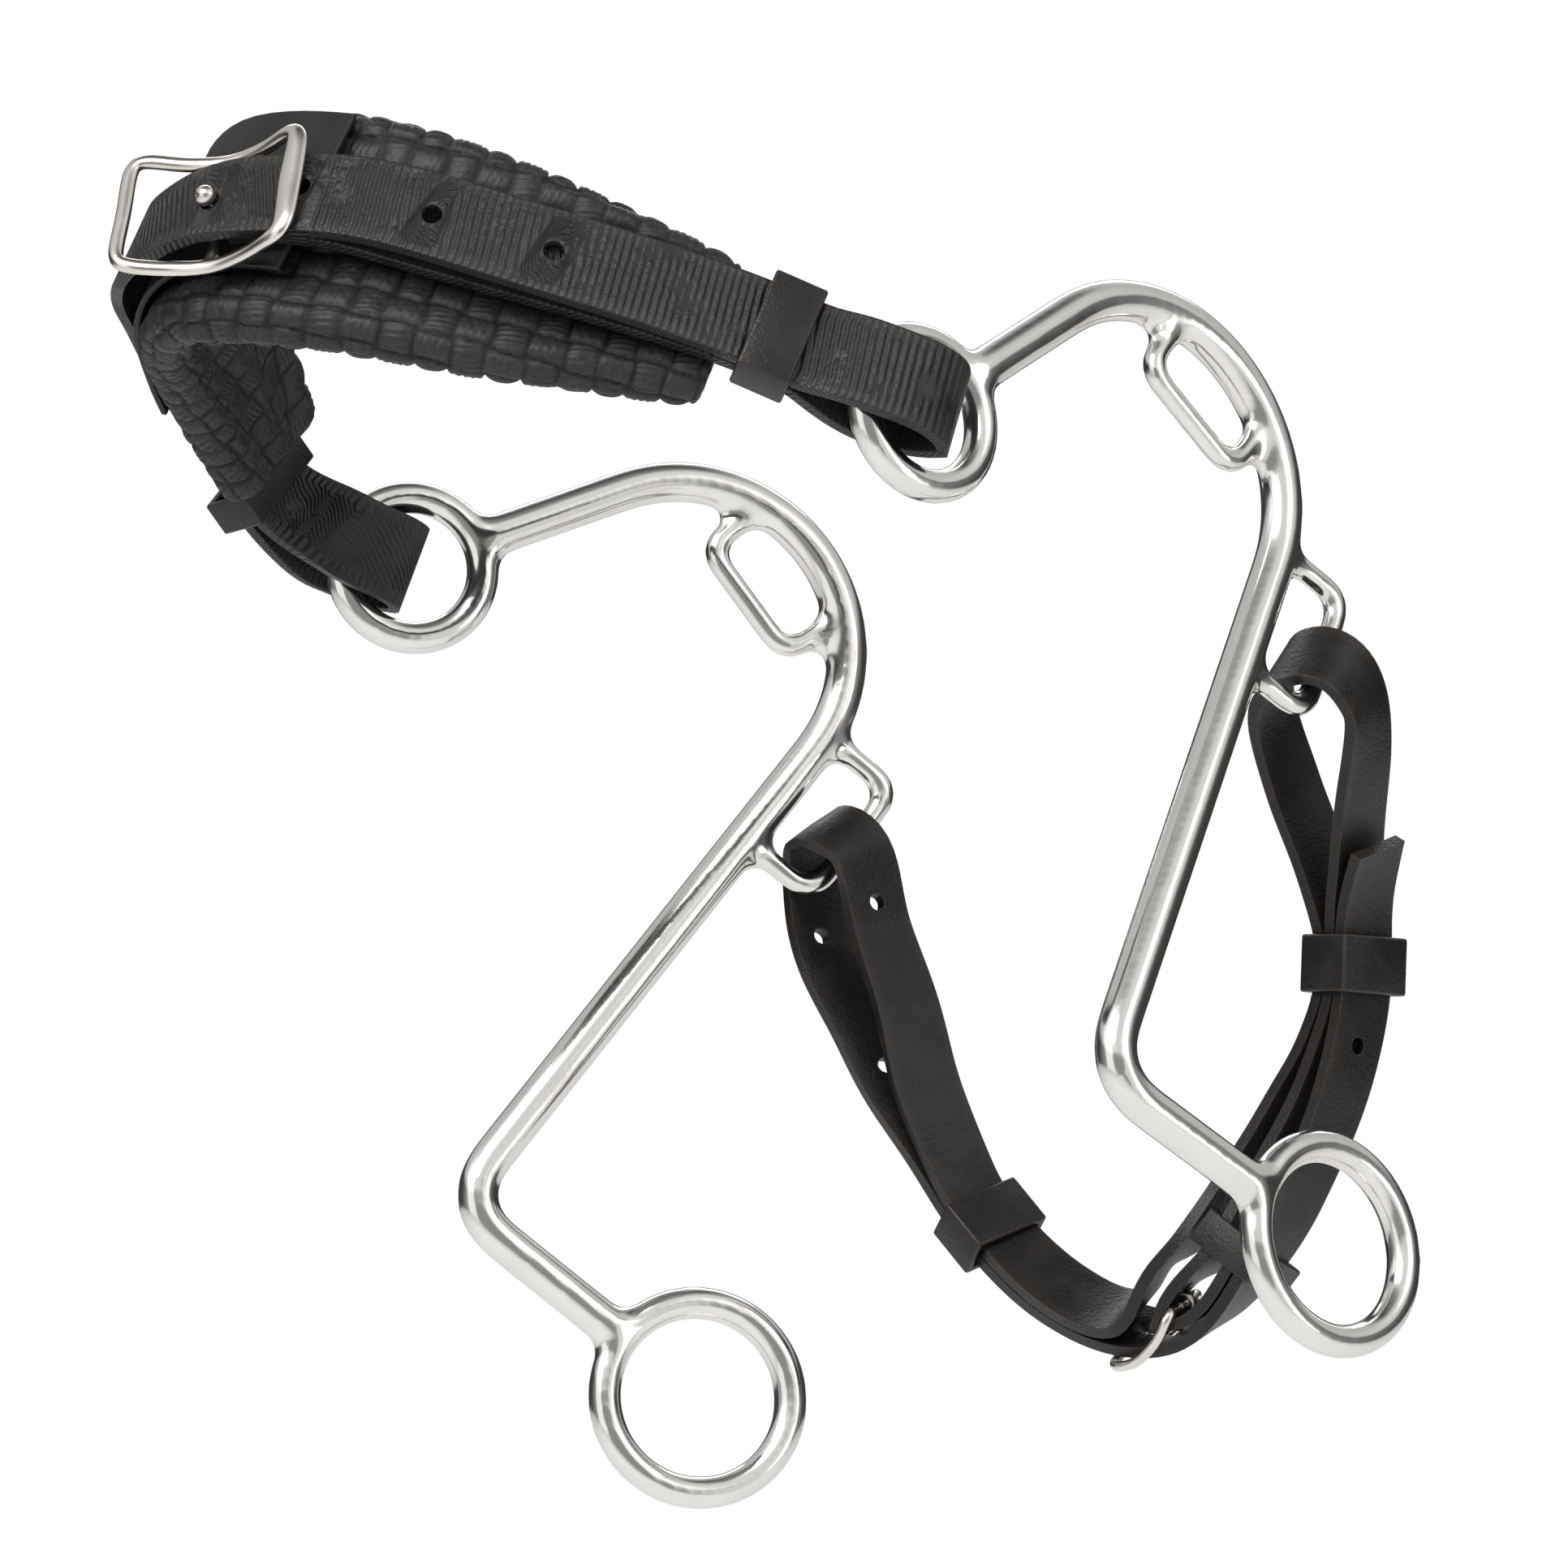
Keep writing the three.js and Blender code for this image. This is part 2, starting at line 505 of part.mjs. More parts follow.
const buckleWay = [0, 0.3, 0.7, 1].map((t) => [
  HINGE_BAR.s + (FRONT_BAR.s - HINGE_BAR.s) * t, HINGE_BAR.n + (FRONT_BAR.n - HINGE_BAR.n) * t ** 0.6]);
const oneSide = [[...buckleWay[0], 0], [...buckleWay[0], CURB_BUCKLE.halfWidth - 2],
  ...buckleWay.slice(1, 3).map(([s, n]) => [s, n, CURB_BUCKLE.halfWidth]),
  [...buckleWay[3], CURB_BUCKLE.halfWidth - 2], [...buckleWay[3], 0]];
const otherSide = oneSide.slice(1, -1).reverse().map(([s, n, w]) => [s, n, -w]);
add(hackamore, 'curb_buckle_frame', closedWire([...oneSide, ...otherSide].map((p) => curb.place(...p)),
  curb.frame((HINGE_BAR.s + FRONT_BAR.s) / 2).out, () => CURB_BUCKLE.wire, CURB_BUCKLE.wire, 44), steel);

// The tongue hooks round the hinge bar, goes up through the strap and rests on the front bar.
const hookR = CURB_BUCKLE.wire + GAP + TONGUE_R;
const hook = [-150, -100, -50, 0, 45, 90].map((deg) =>
  [HINGE_BAR.s + hookR * Math.cos(deg * DEG), HINGE_BAR.n + hookR * Math.sin(deg * DEG)]);
const tongueTop = FRONT_BAR.n + CURB_BUCKLE.wire + GAP + TONGUE_R;
const tongueRoute = [...hook, [168, (hookR + tongueTop) / 2], [FRONT_BAR.s, tongueTop], [FRONT_BAR.s - 3, tongueTop]];
add(hackamore, 'curb_buckle_tongue', curb.rod(tongueRoute, TONGUE_R, 8, 30), steel);

export default hackamore;
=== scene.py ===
# %% [markdown]
# # A bitless hackamore
# Two steel cheek pieces hang from a padded noseband and are joined behind the jaw by a curb
# strap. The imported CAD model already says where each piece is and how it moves. This lesson
# gives every piece its looks: welded and polished steel, cut leather and a braided pad.

import heapq
import math

import bmesh
import bpy
import numpy as np
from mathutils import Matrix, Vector


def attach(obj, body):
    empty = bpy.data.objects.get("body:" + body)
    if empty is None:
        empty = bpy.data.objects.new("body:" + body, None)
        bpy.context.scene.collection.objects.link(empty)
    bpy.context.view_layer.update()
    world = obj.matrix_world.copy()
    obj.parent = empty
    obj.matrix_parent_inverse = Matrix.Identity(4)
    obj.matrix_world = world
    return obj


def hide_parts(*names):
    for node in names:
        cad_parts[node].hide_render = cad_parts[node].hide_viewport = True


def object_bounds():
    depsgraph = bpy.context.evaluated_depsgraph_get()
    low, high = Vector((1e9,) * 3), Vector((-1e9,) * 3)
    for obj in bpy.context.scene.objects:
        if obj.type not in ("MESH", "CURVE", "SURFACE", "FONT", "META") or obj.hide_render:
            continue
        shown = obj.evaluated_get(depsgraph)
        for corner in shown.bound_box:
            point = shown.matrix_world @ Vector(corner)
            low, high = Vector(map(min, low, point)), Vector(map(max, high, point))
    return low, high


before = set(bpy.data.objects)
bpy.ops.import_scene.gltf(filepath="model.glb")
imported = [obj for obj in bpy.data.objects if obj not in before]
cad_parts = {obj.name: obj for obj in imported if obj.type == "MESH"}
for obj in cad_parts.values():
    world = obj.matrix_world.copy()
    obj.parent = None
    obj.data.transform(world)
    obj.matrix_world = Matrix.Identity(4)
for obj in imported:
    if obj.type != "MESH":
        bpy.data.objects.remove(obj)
cad_box = [[float(c) for c in corner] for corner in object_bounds()]
MM = 0.001
scene = bpy.context.scene
print("CAD nodes:", len(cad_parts))

# %% [markdown]
# ## Shader sums that read as sums
# A material here is a tree of nodes. Placing each Math node by hand hides what is worked out,
# so a small class wraps one socket and turns + - * into Math nodes. Every other node comes from
# one method, which takes the node's type, its settings and what goes into its sockets. The sky
# is a tree too, so it uses the same calls.

# %% The socket and finish classes
class Wire:
    """One output socket, which adds Math nodes when it is used in a sum."""

    def __init__(self, nodes, socket):
        self.nodes = nodes
        self.socket = socket

    def join(self, operation, first, second):
        return self.nodes.node("ShaderNodeMath", {"operation": operation}, {0: first, 1: second})

    def __add__(self, other):
        return self.join("ADD", self, other)

    __radd__ = __add__

    def __mul__(self, other):
        return self.join("MULTIPLY", self, other)

    __rmul__ = __mul__

    def __sub__(self, other):
        return self.join("SUBTRACT", self, other)

    def __rsub__(self, other):
        return self.join("SUBTRACT", other, self)


class Nodes:
    """A node tree whose nodes are made and joined by calls."""

    def __init__(self, tree):
        self.tree = tree

    def feed(self, socket, value):
        if isinstance(value, Wire):
            self.tree.links.new(value.socket, socket)
        else:
            socket.default_value = value

    def node(self, kind, settings=None, inputs=None, out=0):
        made = self.tree.nodes.new(kind)
        for setting, value in (settings or {}).items():
            setattr(made, setting, value)
        for socket, value in (inputs or {}).items():
            self.feed(made.inputs[socket], value)
        return Wire(self, made.outputs[out])

    def fade(self, value, low, high):
        """0 below low, 1 above high and smooth between."""
        return self.node("ShaderNodeMapRange", {"interpolation_type": "SMOOTHSTEP"}, {
            "Value": value, "From Min": low, "From Max": high})

    def blend(self, mask, first, second):
        return self.node("ShaderNodeMix", {"data_type": "RGBA"}, {
            "Factor": mask, 6: first, 7: second}, out=2)


class Finish(Nodes):
    """A material built on one Principled surface."""

    def __init__(self, name, **constants):
        self.material = bpy.data.materials.new(name)
        self.material.use_nodes = True
        super().__init__(self.material.node_tree)
        self.surface = self.tree.nodes["Principled BSDF"]
        for socket, value in constants.items():
            self.surface.inputs[socket.replace("_", " ")].default_value = value
        self.place = self.node("ShaderNodeTexCoord", out="Object")

    def noise(self, size, detail=2.0, roughness=0.5):
        """Soft random patches about size metres across."""
        return self.node("ShaderNodeTexNoise", {}, {
            "Vector": self.place, "Scale": 1 / size, "Detail": detail, "Roughness": roughness})

    def pebbles(self, size):
        """Rounded cells about size metres across, for the grain of leather."""
        return self.node("ShaderNodeTexVoronoi", {"feature": "SMOOTH_F1"}, {
            "Vector": self.place, "Scale": 1 / size, "Smoothness": 0.6})

    def mark(self, name):
        """A number that the piece's own mesh carries."""
        return self.node("ShaderNodeAttribute", {"attribute_name": name}, out="Fac")

    def relief(self, height, distance):
        """Turns a height of 0 to 1 into bumps of that many metres."""
        return self.node("ShaderNodeBump", {}, {"Height": height, "Distance": distance, "Strength": 1.0},
                         out="Normal")

    def drive(self, **links):
        for socket, value in links.items():
            self.feed(self.surface.inputs[socket.replace("_", " ")], value)
        return self.material


# %% [markdown]
# ## Polished steel
# The cheeks are forged, welded and then polished by hand on a wheel, so they are mirror bright
# but never perfectly even: faint waves bend the reflections and finger marks dull them a little.
# Large soft noise drives both, and the colour stays a warm, light grey.

# %% Steel finishes
def polished(name, colour, dull_colour, rough):
    steel = Finish(name, Metallic=1.0)
    smudge = steel.noise(14 * MM, detail=4.0)
    waves = steel.noise(9 * MM, detail=1.0)
    scuffs = steel.noise(0.7 * MM, detail=3.0)
    return steel.drive(
        Base_Color=steel.blend(smudge, colour, dull_colour),
        Roughness=rough + 0.1 * smudge + 0.05 * scuffs,
        Normal=steel.relief(waves + 0.015 * scuffs, 0.07 * MM),
    )


shank_steel = polished("shank steel", (0.86, 0.845, 0.82, 1), (0.74, 0.72, 0.69, 1), 0.08)
buckle_steel = polished("buckle steel", (0.84, 0.80, 0.76, 1), (0.66, 0.61, 0.56, 1), 0.12)
print("steel finishes:", shank_steel.name, buckle_steel.name)

# %% [markdown]
# ## Leather
# Black bridle leather isn't one black. It has a fine pebbled grain, broad patches where the
# dressing is thicker, and edges rubbed smooth and a little browner. The straps carry two marks
# in their meshes: how far along the strap a point is, for cross ribs, and whether it is on
# a rounded edge.

# %% Leather finishes
RIB_PITCH = 1.9 * MM
EDGE_BROWN = (0.035, 0.027, 0.022, 1)


def hide_finish(name, dark, light, rough, grain, ribs=0.0):
    leather = Finish(name, Specular_IOR_Level=0.4)
    patches = leather.noise(11 * MM, detail=3.0)
    pebbles = leather.pebbles(grain)
    creases = leather.noise(2.2 * MM, detail=5.0, roughness=0.65)
    edge = leather.mark("cut_edge")
    height = 0.5 * pebbles + 0.8 * creases
    if ribs:
        turns = leather.mark("along") * (2 * math.pi / RIB_PITCH) + 2.2 * creases
        rib = leather.node("ShaderNodeMath", {"operation": "SINE"}, {0: turns}) * 0.5 + 0.5
        height = height + ribs * rib * (1 - edge) * leather.fade(patches, 0.3, 0.52)
    colour = leather.blend(leather.fade(patches, 0.35, 0.7), dark, light)
    return leather.drive(
        Base_Color=leather.blend(edge * 0.8, colour, EDGE_BROWN),
        Roughness=rough + 0.16 * patches + 0.1 * creases - 0.06 * edge,
        Normal=leather.relief(height, 0.16 * MM),
    )


strap_leather = hide_finish("bridle leather", (0.007, 0.006, 0.0055, 1), (0.016, 0.013, 0.011, 1),
                            rough=0.26, grain=0.8 * MM)
ribbed_leather = hide_finish("ribbed leather", (0.011, 0.011, 0.011, 1), (0.022, 0.021, 0.02, 1),
                             rough=0.3, grain=0.9 * MM, ribs=3.0)
lining_leather = hide_finish("lining leather", (0.006, 0.006, 0.006, 1), (0.014, 0.013, 0.012, 1),
                             rough=0.5, grain=0.5 * MM)


def plaited(name):
    """Flat laces plaited over a stuffed pad, with painted shade: near black where one dives under the next.
    """
    leather = Finish(name, Specular_IOR_Level=0.4)
    crown = leather.mark("plait")
    creases = leather.noise(1.6 * MM, detail=4.0, roughness=0.6)
    rubbed = leather.blend(leather.fade(creases, 0.4, 0.7), (0.017, 0.0165, 0.016, 1),
                           (0.03, 0.029, 0.028, 1))
    # The colour is painted shade: it goes near black where the plait is low, in the pits where one lace dives
    # under the next. Only the crowns show the laces' own colour.
    return leather.drive(
        Base_Color=leather.blend(leather.fade(crown, 0.12, 0.6), (0.003, 0.003, 0.003, 1), rubbed),
        Roughness=0.62 - 0.24 * crown + 0.12 * creases,
        Normal=leather.relief(creases, 0.12 * MM),
    )


plaited_leather = plaited("plaited leather")
print("leather finishes:", strap_leather.name, ribbed_leather.name, lining_leather.name, plaited_leather.name)

# %% [markdown]
# ## Starting from the CAD
# The CAD's meshes are loose triangles with sharp edges. A copy is merged and its triangles are
# joined back into quads, so that bevels and subdivision flow along the shape. The copy then
# replaces the plain node, and rides on the same body.

# %% Copying, finishing and placing a piece
def copy_of(*nodes):
    shape = bmesh.new()
    for node in nodes:
        shape.from_mesh(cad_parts[node].data)
    bmesh.ops.remove_doubles(shape, verts=shape.verts, dist=0.005 * MM)
    return shape


def join_quads(shape, bend=25):
    bmesh.ops.join_triangles(shape, faces=shape.faces, cmp_seam=False, cmp_sharp=False, cmp_uvs=False,
                             cmp_vcols=False, cmp_materials=False, angle_face_threshold=math.radians(bend),
                             angle_shape_threshold=math.radians(50))


def place(name, shape, body, finish, nodes, levels=0):
    mesh = bpy.data.meshes.new(name)
    shape.to_mesh(mesh)
    shape.free()
    mesh.materials.append(finish)
    mesh.shade_smooth()
    made = bpy.data.objects.new(name, mesh)
    scene.collection.objects.link(made)
    if levels:
        smooth = made.modifiers.new("smooth", "SUBSURF")
        smooth.levels = smooth.render_levels = levels
    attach(made, body)
    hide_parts(*nodes)
    print(name, "has", len(mesh.polygons), "faces before smoothing")
    return made


# %% [markdown]
# ## The welded cheeks
# Each cheek is a bar, two rings and two wire slots, welded and then ground until bar flows into
# ring. Modelling each weld by hand is slow. Instead all five solids are swollen until they touch,
# melted into one skin by a voxel remesh, and shrunk again: what is left in each corner is
# a fillet, as a welder leaves it.

# %% One cheek
SWELL = 2.0 * MM
SHRINK = 1.9 * MM
VOXEL = 0.75 * MM
# Subdivision pulls a ten-sided bar in by this much, so it is given back.
CHEEK_PARTS = {"cheek_bar": 0.32 * MM, "nose_ring": 0.21 * MM, "rein_ring": 0.21 * MM,
               "bridle_slot": 0.26 * MM, "curb_slot": 0.26 * MM}


def settled(holder):
    """Replaces an object's mesh by what its modifiers make of it."""
    shown = holder.evaluated_get(bpy.context.evaluated_depsgraph_get())
    mesh = bpy.data.meshes.new_from_object(shown)
    holder.modifiers.clear()
    holder.data = mesh


def modified(shape, kind, **settings):
    """Passes a bmesh through one modifier and gives back the result."""
    mesh = bpy.data.meshes.new("work")
    shape.to_mesh(mesh)
    shape.free()
    holder = bpy.data.objects.new("work", mesh)
    scene.collection.objects.link(holder)
    modifier = holder.modifiers.new("work", kind)
    for setting, value in settings.items():
        setattr(modifier, setting, value)
    settled(holder)
    result = bmesh.new()
    result.from_mesh(holder.data)
    bpy.data.objects.remove(holder)
    return result


def push(shape, distance):
    shape.normal_update()
    for vert in shape.verts:
        vert.co += vert.normal * distance


def relax(shape, times):
    for _ in range(times):
        bmesh.ops.smooth_vert(shape, verts=shape.verts, factor=0.5, use_axis_x=True, use_axis_y=True,
                              use_axis_z=True)


def welded(side):
    shape = bmesh.new()
    for part_name, lost in CHEEK_PARTS.items():
        part = copy_of(f"{side}_{part_name}")
        join_quads(part)
        part = modified(part, "SUBSURF", levels=2)
        push(part, SWELL + lost)
        swollen = bpy.data.meshes.new("swollen")
        part.to_mesh(swollen)
        part.free()
        shape.from_mesh(swollen)
    shape = modified(shape, "REMESH", mode="VOXEL", voxel_size=VOXEL)
    relax(shape, 10)
    push(shape, -SHRINK)
    relax(shape, 12)
    return shape


for side in ("near", "far"):
    parts = [f"{side}_{part}" for part in CHEEK_PARTS]
    place(f"{side}_cheek", welded(side), f"{side}_shank", shank_steel, parts)

# %% [markdown]
# ## Straps
# A strap is cut square and its edges are then rounded with an edging tool and burnished. The CAD
# strap has the route and the holes, so its sharp edges are bevelled. Every point is then marked
# with its distance from the strap's free end, measured along the mesh's own edges, and the
# noseband's material uses that to lay ribs across the strap in patches set by noise.

# %% Rounding the edges and measuring along a strap
STRAP_THICK = 3 * MM
STRAP_EDGE = 0.8 * MM


def soften(shape, width, angle=50, segments=3):
    """Rounds every edge sharper than angle, and marks the new faces' points as cut edge."""
    shape.normal_update()
    sharp = [edge for edge in shape.edges
             if len(edge.link_faces) == 2 and edge.calc_face_angle(0) > math.radians(angle)]
    rounded = bmesh.ops.bevel(shape, geom=sharp, offset=width, offset_type="OFFSET", segments=segments,
                              profile=0.5, affect="EDGES", material=-1, clamp_overlap=True)
    mark = shape.verts.layers.float.new("cut_edge")
    corner_faces = set(rounded["faces"])
    for vert in {vert for face in corner_faces for vert in face.verts}:
        if set(vert.link_faces) <= corner_faces:
            vert[mark] = 1.0


def square_end(shape, width, thick):
    """A test for the points of a strap's cut end: its middle point has only flat faces round it."""
    shape.normal_update()
    pole = next(vert for vert in shape.verts
                if all(face.normal.dot(vert.link_faces[0].normal) > 0.9998 for face in vert.link_faces))
    facing = pole.link_faces[0].normal.copy()
    middle = pole.co.copy()
    corners = [edge.other_vert(pole).co - middle for edge in pole.link_edges]
    sums = [first + second for first in corners for second in corners]
    thin = min((way for way in sums if way.length > 0.2 * thick), key=lambda way: way.length).normalized()
    across = facing.cross(thin)

    def belongs(point):
        way = point - middle
        return (abs(way.dot(facing)) < 0.4 * thick and abs(way.dot(thin)) < 0.55 * thick
                and abs(way.dot(across)) < 0.52 * width)
    return belongs


def measure_along(shape, at_start):
    """Marks each point with its shortest way along the mesh's edges from the strap's cut end."""
    mark = shape.verts.layers.float.new("along")
    shape.verts.ensure_lookup_table()
    shape.verts.index_update()
    best = [math.inf] * len(shape.verts)
    queue = [(0.0, vert.index) for vert in shape.verts if at_start(vert.co)]
    for _, index in queue:
        best[index] = 0.0
    while queue:
        far, index = heapq.heappop(queue)
        if far > best[index]:
            continue
        vert = shape.verts[index]
        for edge in vert.link_edges:
            other = edge.other_vert(vert)
            way = far + edge.calc_length()
            if way < best[other.index]:
                best[other.index] = way
                heapq.heappush(queue, (way, other.index))
    for vert in shape.verts:
        vert[mark] = min(best[vert.index], 2.0)
    return max(vert[mark] for vert in shape.verts)


def cut_strap(node, body, finish, width, levels=1):
    shape = copy_of(node)
    at_start = square_end(shape, width, STRAP_THICK)
    join_quads(shape)
    soften(shape, STRAP_EDGE)
    length = measure_along(shape, at_start)
    print(f"{node}: {1000 * length:.0f} mm along its edges")
    return place(f"{node}_cut", shape, body, finish, [node], levels)


cut_strap("noseband_strap", "noseband", ribbed_leather, 22 * MM)
cut_strap("curb_strap", "curb_strap", strap_leather, 17 * MM)

# %% [markdown]
# ## Keepers and the lining patch
# A keeper is a short band of leather that holds a strap's layers together. It is thin, so its
# edges are only broken, and where it folds round the strap's edge it bends over a small radius.

# %% Small leather
def small_leather(node, body, finish, width):
    shape = copy_of(node)
    join_quads(shape)
    soften(shape, width)
    shape.verts.layers.float.new("along")
    return place(f"{node}_leather", shape, body, finish, [node])


for node in ("noseband_near_keeper", "noseband_far_keeper"):
    small_leather(node, "noseband", strap_leather, 0.7 * MM)
for node in ("curb_far_keeper", "curb_near_keeper", "curb_fixed_keeper"):
    small_leather(node, "curb_strap", strap_leather, 0.7 * MM)
small_leather("noseband_patch", "noseband", lining_leather, 0.5 * MM)

# %% [markdown]
# ## Buckles, stud and tongue
# These are small castings of bright steel. Their CAD shapes are right but faceted, so the quads
# are smoothed by subdivision, which also rounds the corners as tumbling rounds the real ones.

# %% Small steel
for node, body in (("conway_frame", "noseband"), ("conway_stud", "noseband"),
                   ("curb_buckle_frame", "curb_strap"), ("curb_buckle_tongue", "curb_strap")):
    shape = copy_of(node)
    join_quads(shape, bend=50)
    place(f"{node}_cast", shape, body, buckle_steel, [node], levels=2)

# %% [markdown]
# ## The braided pad
# The pad is a stuffed tube of basket-plaited laces: each square of five fine strands dives under
# its neighbours, with a pit at every corner, painted near black as shade. A picture of that would
# look flat on the rolls at its edges, so the plait is modelled. A fine grid is wrapped round the
# CAD pad's own rings, like a sheet of plaited leather round its stuffing, and each point is then
# pressed in or out.

# %% The pad's rings, read from its CAD solid
def flat_end(middle_point):
    """The flat cap's faces round its middle point."""
    cap = set(middle_point.link_faces)
    facing = middle_point.link_faces[0].normal.copy()
    fresh = list(cap)
    while fresh:
        nearby = {other for edge in fresh.pop().edges for other in edge.link_faces} - cap
        flat_ones = [face for face in nearby if face.normal.dot(facing) > 0.999]
        cap.update(flat_ones)
        fresh.extend(flat_ones)
    return cap


def rings_of(node):
    """The rings of points along a lofted solid, from one end cap to the other."""
    shape = copy_of(node)
    shape.normal_update()
    shape.verts.index_update()
    poles = sorted(shape.verts, key=lambda vert: len(vert.link_edges))[-2:]
    caps = flat_end(poles[0]) | flat_end(poles[1])
    found = {vert for face in flat_end(poles[0]) for vert in face.verts} - {poles[0]}
    seen = {poles[0]}
    rings = []
    while len(found) > 2:
        seen.update(found)
        level = sorted(found, key=lambda vert: vert.index)
        walk = [level[0]]
        while len(walk) < len(level):
            onward = [edge.other_vert(walk[-1]) for edge in walk[-1].link_edges
                      if not set(edge.link_faces) <= caps]
            walk.append(next(vert for vert in onward if vert in level and vert not in walk))
        rings.append(np.array([vert.co[:] for vert in walk]))
        found = {edge.other_vert(vert) for vert in level for edge in vert.link_edges} - seen
    shape.free()
    return rings


def line_up(rings):
    """Turns and flips each ring so that its points follow on from the ring before."""
    lined = [rings[0]]
    for ring in rings[1:]:
        tries = [np.roll(way, turn, axis=0) for way in (ring, ring[::-1]) for turn in range(len(ring))]
        lined.append(min(tries, key=lambda way: ((way - lined[-1]) ** 2).sum()))
    return np.array(lined)


pad_rings = line_up(rings_of("noseband_pad"))
print("pad rings:", pad_rings.shape)

# %% Resampling the pad as a smooth skin
SKIN_SOFTNESS = 2.2 * MM


def resample(points, count, closed):
    """Points at even distances along rows of points, smoothed a little. Works on the first axis."""
    if closed:
        points = np.concatenate([points, points[:1]])
    middle = points.reshape(len(points), -1, 3)
    steps = np.linalg.norm(np.diff(middle, axis=0), axis=2).mean(axis=1)
    way = np.concatenate([[0], np.cumsum(steps)])
    at = np.linspace(0, way[-1], count)
    flat = points.reshape(len(points), -1)
    even = np.stack([np.interp(at, way, column) for column in flat.T], axis=1)
    reach = max(1, int(SKIN_SOFTNESS / (way[-1] / count)))
    kernel = np.hanning(2 * reach + 3)[1:-1]
    kernel /= kernel.sum()
    if closed:
        ring = even[:-1]
        padded = np.concatenate([ring[-reach:], ring, ring[:reach]])
    else:
        before = 2 * even[0] - even[1:reach + 1][::-1]
        after = 2 * even[-1] - even[-reach - 1:-1][::-1]
        padded = np.concatenate([before, even, after])
    even = np.stack([np.convolve(column, kernel, mode="valid") for column in padded.T], axis=1)
    if closed:
        even = np.concatenate([even, even[:1]])
    return even.reshape((len(even),) + points.shape[1:]), way[-1]


# The seam goes down the middle of the inner face, where the pad comes closest to the origin.
middle_ring = len(pad_rings) // 2
inner_index = int(np.argmin(np.linalg.norm(pad_rings[middle_ring], axis=1)))
pad_rings = np.roll(pad_rings, -inner_index, axis=1)
AROUND_COUNT = 250
ALONG_COUNT = 390
around, girth = resample(pad_rings.transpose(1, 0, 2), AROUND_COUNT, closed=True)
skin, pad_length = resample(around.transpose(1, 0, 2), ALONG_COUNT, closed=False)
print(f"pad skin {skin.shape}, {1000 * pad_length:.0f} mm long, {1000 * girth:.0f} mm round")

# %% [markdown]
# ## Plaiting the skin
# Every square of the plait is 8 mm wide. In one square the strands run along the pad, in the next
# they run across it. A strand's bundle is highest in its middle and dips at both its ends.

# %% Pressing the plait into the skin
SQUARE = 8.0 * MM
STRANDS = 5
CROWN = 1.25 * MM
STRAND_RELIEF = 0.6 * MM
SLANT = 0.22
SEAM_FADE = 2.5 * MM
END_FADE = 3 * MM
TUCK = 1.6 * MM
TUCK_WIDTH = 2.2 * MM

facing = np.cross(np.gradient(skin, axis=0), np.gradient(skin, axis=1))
facing /= np.linalg.norm(facing, axis=2, keepdims=True) + 1e-12
from_middle = skin - skin.mean(axis=1, keepdims=True)
if (facing * from_middle).sum() < 0:
    facing = -facing

# How far each point is along the pad, and round it from the seam.
steps_along = np.linalg.norm(np.diff(skin, axis=0), axis=2).mean(axis=1)
along_pad = np.concatenate([[0], np.cumsum(steps_along)])[:, None]
steps_round = np.linalg.norm(np.diff(skin, axis=1), axis=2)
round_pad = np.concatenate([np.zeros((len(skin), 1)), np.cumsum(steps_round, axis=1)], axis=1)
whole_round = round_pad[:, -1:]
to_end = np.minimum(along_pad, pad_length - along_pad)
to_seam = np.minimum(round_pad, whole_round - round_pad)

# Each point's place in its square, from -0.5 to 0.5 along its strands and across them.
column = along_pad / SQUARE + 0 * round_pad
row = (round_pad - whole_round / 2) / SQUARE
runs_along = (np.floor(column) + np.floor(row)) % 2 > 0.5
in_column = column - np.floor(column) - 0.5
in_row = row - np.floor(row) - 0.5
lengthwise = np.where(runs_along, in_column, in_row)
crosswise = np.where(runs_along, in_row, in_column)
slant = crosswise + SLANT * lengthwise

# A bundle is domed along its strands and rounded off at its sides. Each strand is a narrow ridge.
dome = (1 - np.abs(2 * lengthwise) ** 2.6) * (1 - 0.35 * np.abs(2 * crosswise) ** 4)
strand = np.abs(np.cos(math.pi * STRANDS * slant)) ** 0.7
seam_fade = np.clip(to_seam / SEAM_FADE, 0, 1)
end_fade = np.clip(to_end / END_FADE, 0, 1)
# plait is the height of the laces. The material paints it as shade: near black where it is low.
plait = dome * (0.62 + 0.38 * strand)
lift = (CROWN * (dome - 0.75) + STRAND_RELIEF * (strand - 0.6) * dome) * seam_fade * end_fade
lift = lift - TUCK * (1 - np.clip(to_end / TUCK_WIDTH, 0, 1)) ** 2
skin = skin + facing * lift[:, :, None]
print(f"plait stands {1000 * lift.max():.2f} mm proud and {-1000 * lift.min():.2f} mm deep")

# %% Wrapping a grid round the skin
shape = bmesh.new()
bmesh.ops.create_grid(shape, x_segments=ALONG_COUNT - 1, y_segments=AROUND_COUNT - 1, size=0.5)
plait_mark = shape.verts.layers.float.new("plait")
for vert in shape.verts:
    i = round((vert.co.x + 0.5) * (ALONG_COUNT - 1))
    j = round((vert.co.y + 0.5) * (AROUND_COUNT - 1))
    vert.co = skin[i, j]
    vert[plait_mark] = plait[i, j]
bmesh.ops.remove_doubles(shape, verts=shape.verts, dist=0.01 * MM)
bmesh.ops.holes_fill(shape, edges=[edge for edge in shape.edges if edge.is_boundary], sides=0)
bmesh.ops.recalc_face_normals(shape, faces=shape.faces)
pad = place("noseband_plaited_pad", shape, "noseband", plaited_leather, ["noseband_pad"])

# %% [markdown]
# ## Light, floor and camera
# Bright steel shows what stands round it, so the light matters as much as the metal. A broad soft
# light comes from above left, with weaker ones from the right and behind. The sky that
# reflections see is dark with a few pale boxes, whose edges draw the lines along the bars.
# The camera itself sees that sky as plain white.

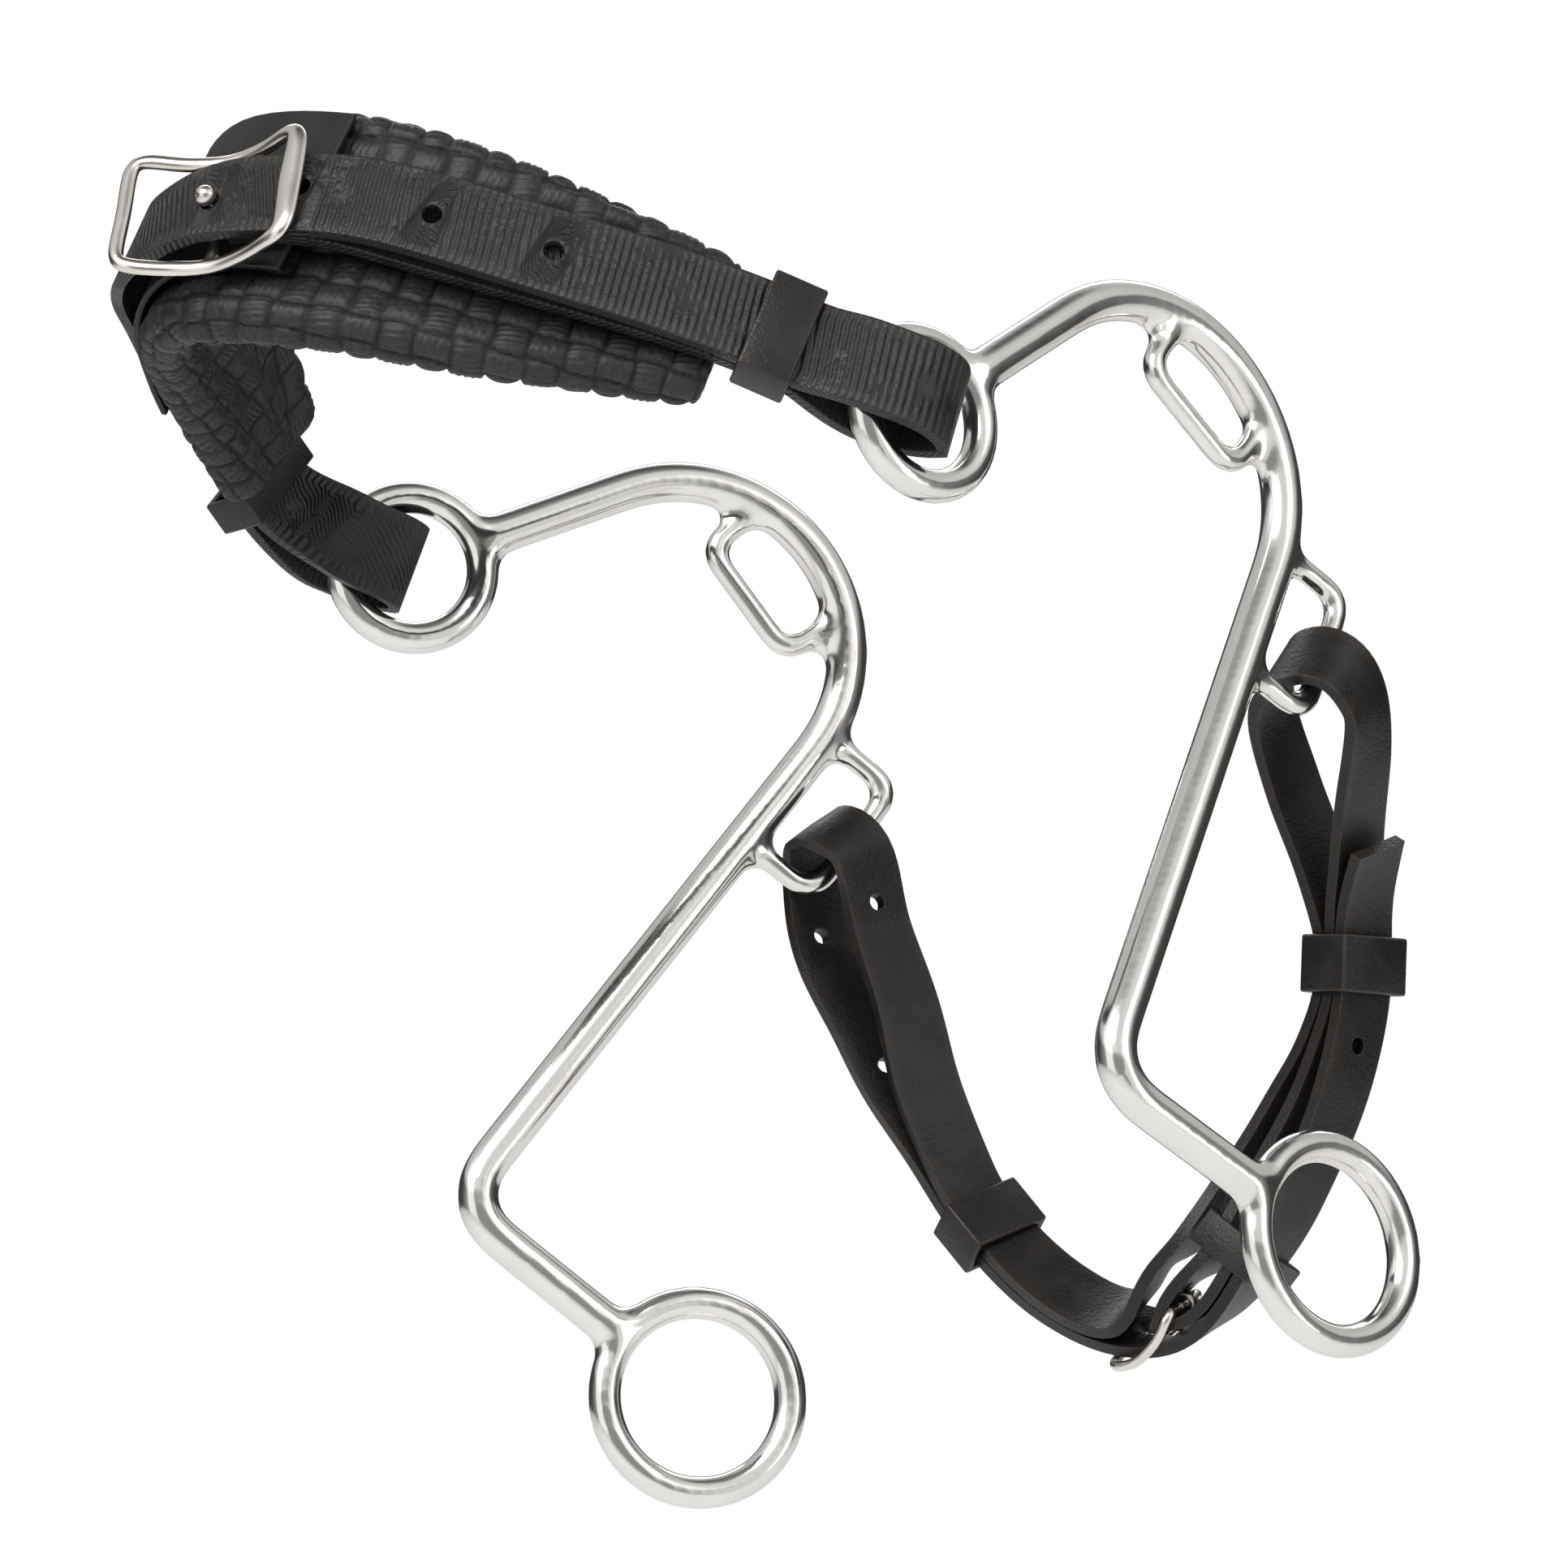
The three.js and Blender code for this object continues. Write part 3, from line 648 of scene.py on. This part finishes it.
# %% The room
FLOOR_RADIUS = 2.8
FLOOR_HEIGHT = -0.62
floor_shape = bmesh.new()
bmesh.ops.create_circle(floor_shape, cap_ends=True, segments=96, radius=FLOOR_RADIUS)
bmesh.ops.translate(floor_shape, verts=floor_shape.verts, vec=(0, 0, FLOOR_HEIGHT))
floor_mesh = bpy.data.meshes.new("floor")
floor_shape.to_mesh(floor_mesh)
floor_shape.free()
floor = bpy.data.objects.new("floor", floor_mesh)
scene.collection.objects.link(floor)
floor_finish = Finish("pale floor", Roughness=0.9)
floor_mesh.materials.append(floor_finish.drive(Base_Color=floor_finish.blend(
    floor_finish.noise(0.6), (0.93, 0.93, 0.93, 1), (0.95, 0.95, 0.95, 1))))

world = bpy.data.worlds.new("studio")
scene.world = world
world.use_nodes = True
sky = Nodes(world.node_tree)
direction = sky.node("ShaderNodeTexCoord", out="Generated")
split = sky.tree.nodes.new("ShaderNodeSeparateXYZ")
sky.feed(split.inputs[0], direction)
across_room, into_room, height = (Wire(sky, split.outputs[axis]) for axis in "XYZ")


def band(value, centre, half, soft=0.08):
    """1 within half of centre, 0 outside, with soft edges."""
    distance = sky.node("ShaderNodeMath", {"operation": "ABSOLUTE"}, {0: value - centre})
    return 1 - sky.fade(distance, half, half + soft)


viewer_side = 1 - sky.fade(into_room, -0.45, 0.35)
overhead = band(height, 0.62, 0.2, 0.15)
left_box = band(across_room, -0.62, 0.2, 0.1) * band(height, 0.1, 0.5, 0.2)
right_box = band(across_room, 0.6, 0.12, 0.1) * band(height, 0.05, 0.5, 0.2)
pale_floor = 1 - sky.fade(height, -0.5, -0.3)
shade = (0.05 + 0.24 * viewer_side + 0.5 * overhead + (0.75 * left_box + 0.5 * right_box) * viewer_side
         + 0.3 * pale_floor)
grey = sky.node("ShaderNodeCombineColor", {}, {0: shade, 1: shade, 2: shade})
camera_ray = sky.node("ShaderNodeLightPath", out="Is Camera Ray")
sky.feed(sky.tree.nodes["Background"].inputs["Color"], sky.blend(camera_ray, grey, (1, 1, 1, 1)))


def soft_light(name, place_at, aim, size, power):
    lamp = bpy.data.lights.new(name, "AREA")
    lamp.shape = "RECTANGLE"
    lamp.size, lamp.size_y = size
    lamp.energy = power
    holder = bpy.data.objects.new(name, lamp)
    scene.collection.objects.link(holder)
    holder.location = place_at
    holder.rotation_euler = (Vector(aim) - holder.location).to_track_quat("-Z", "Y").to_euler()


low, high = cad_box
middle = [(low[k] + high[k]) / 2 for k in range(3)]
soft_light("key", (-0.5, -1.0, 1.1), middle, (1.2, 0.8), 17)
soft_light("side", (1.3, -0.7, 0.2), middle, (0.5, 1.4), 3)
soft_light("back", (0.2, 1.3, 0.9), middle, (1.4, 0.5), 5)

# A long lens, level and straight in front of the near side.
CAMERA_AT = (0.1191, -1.9484, -0.1265)
LENS = 191.2
camera = bpy.data.cameras.new("camera")
camera.lens = LENS
camera.sensor_width = 36
camera.clip_end = 60
holder = bpy.data.objects.new("camera", camera)
scene.collection.objects.link(holder)
holder.location = CAMERA_AT
holder.rotation_euler = (math.pi / 2, 0, 0)
scene.camera = holder
scene.view_settings.view_transform = "Standard"
print("camera at", tuple(holder.location))

# %% The end
bpy.context.view_layer.update()
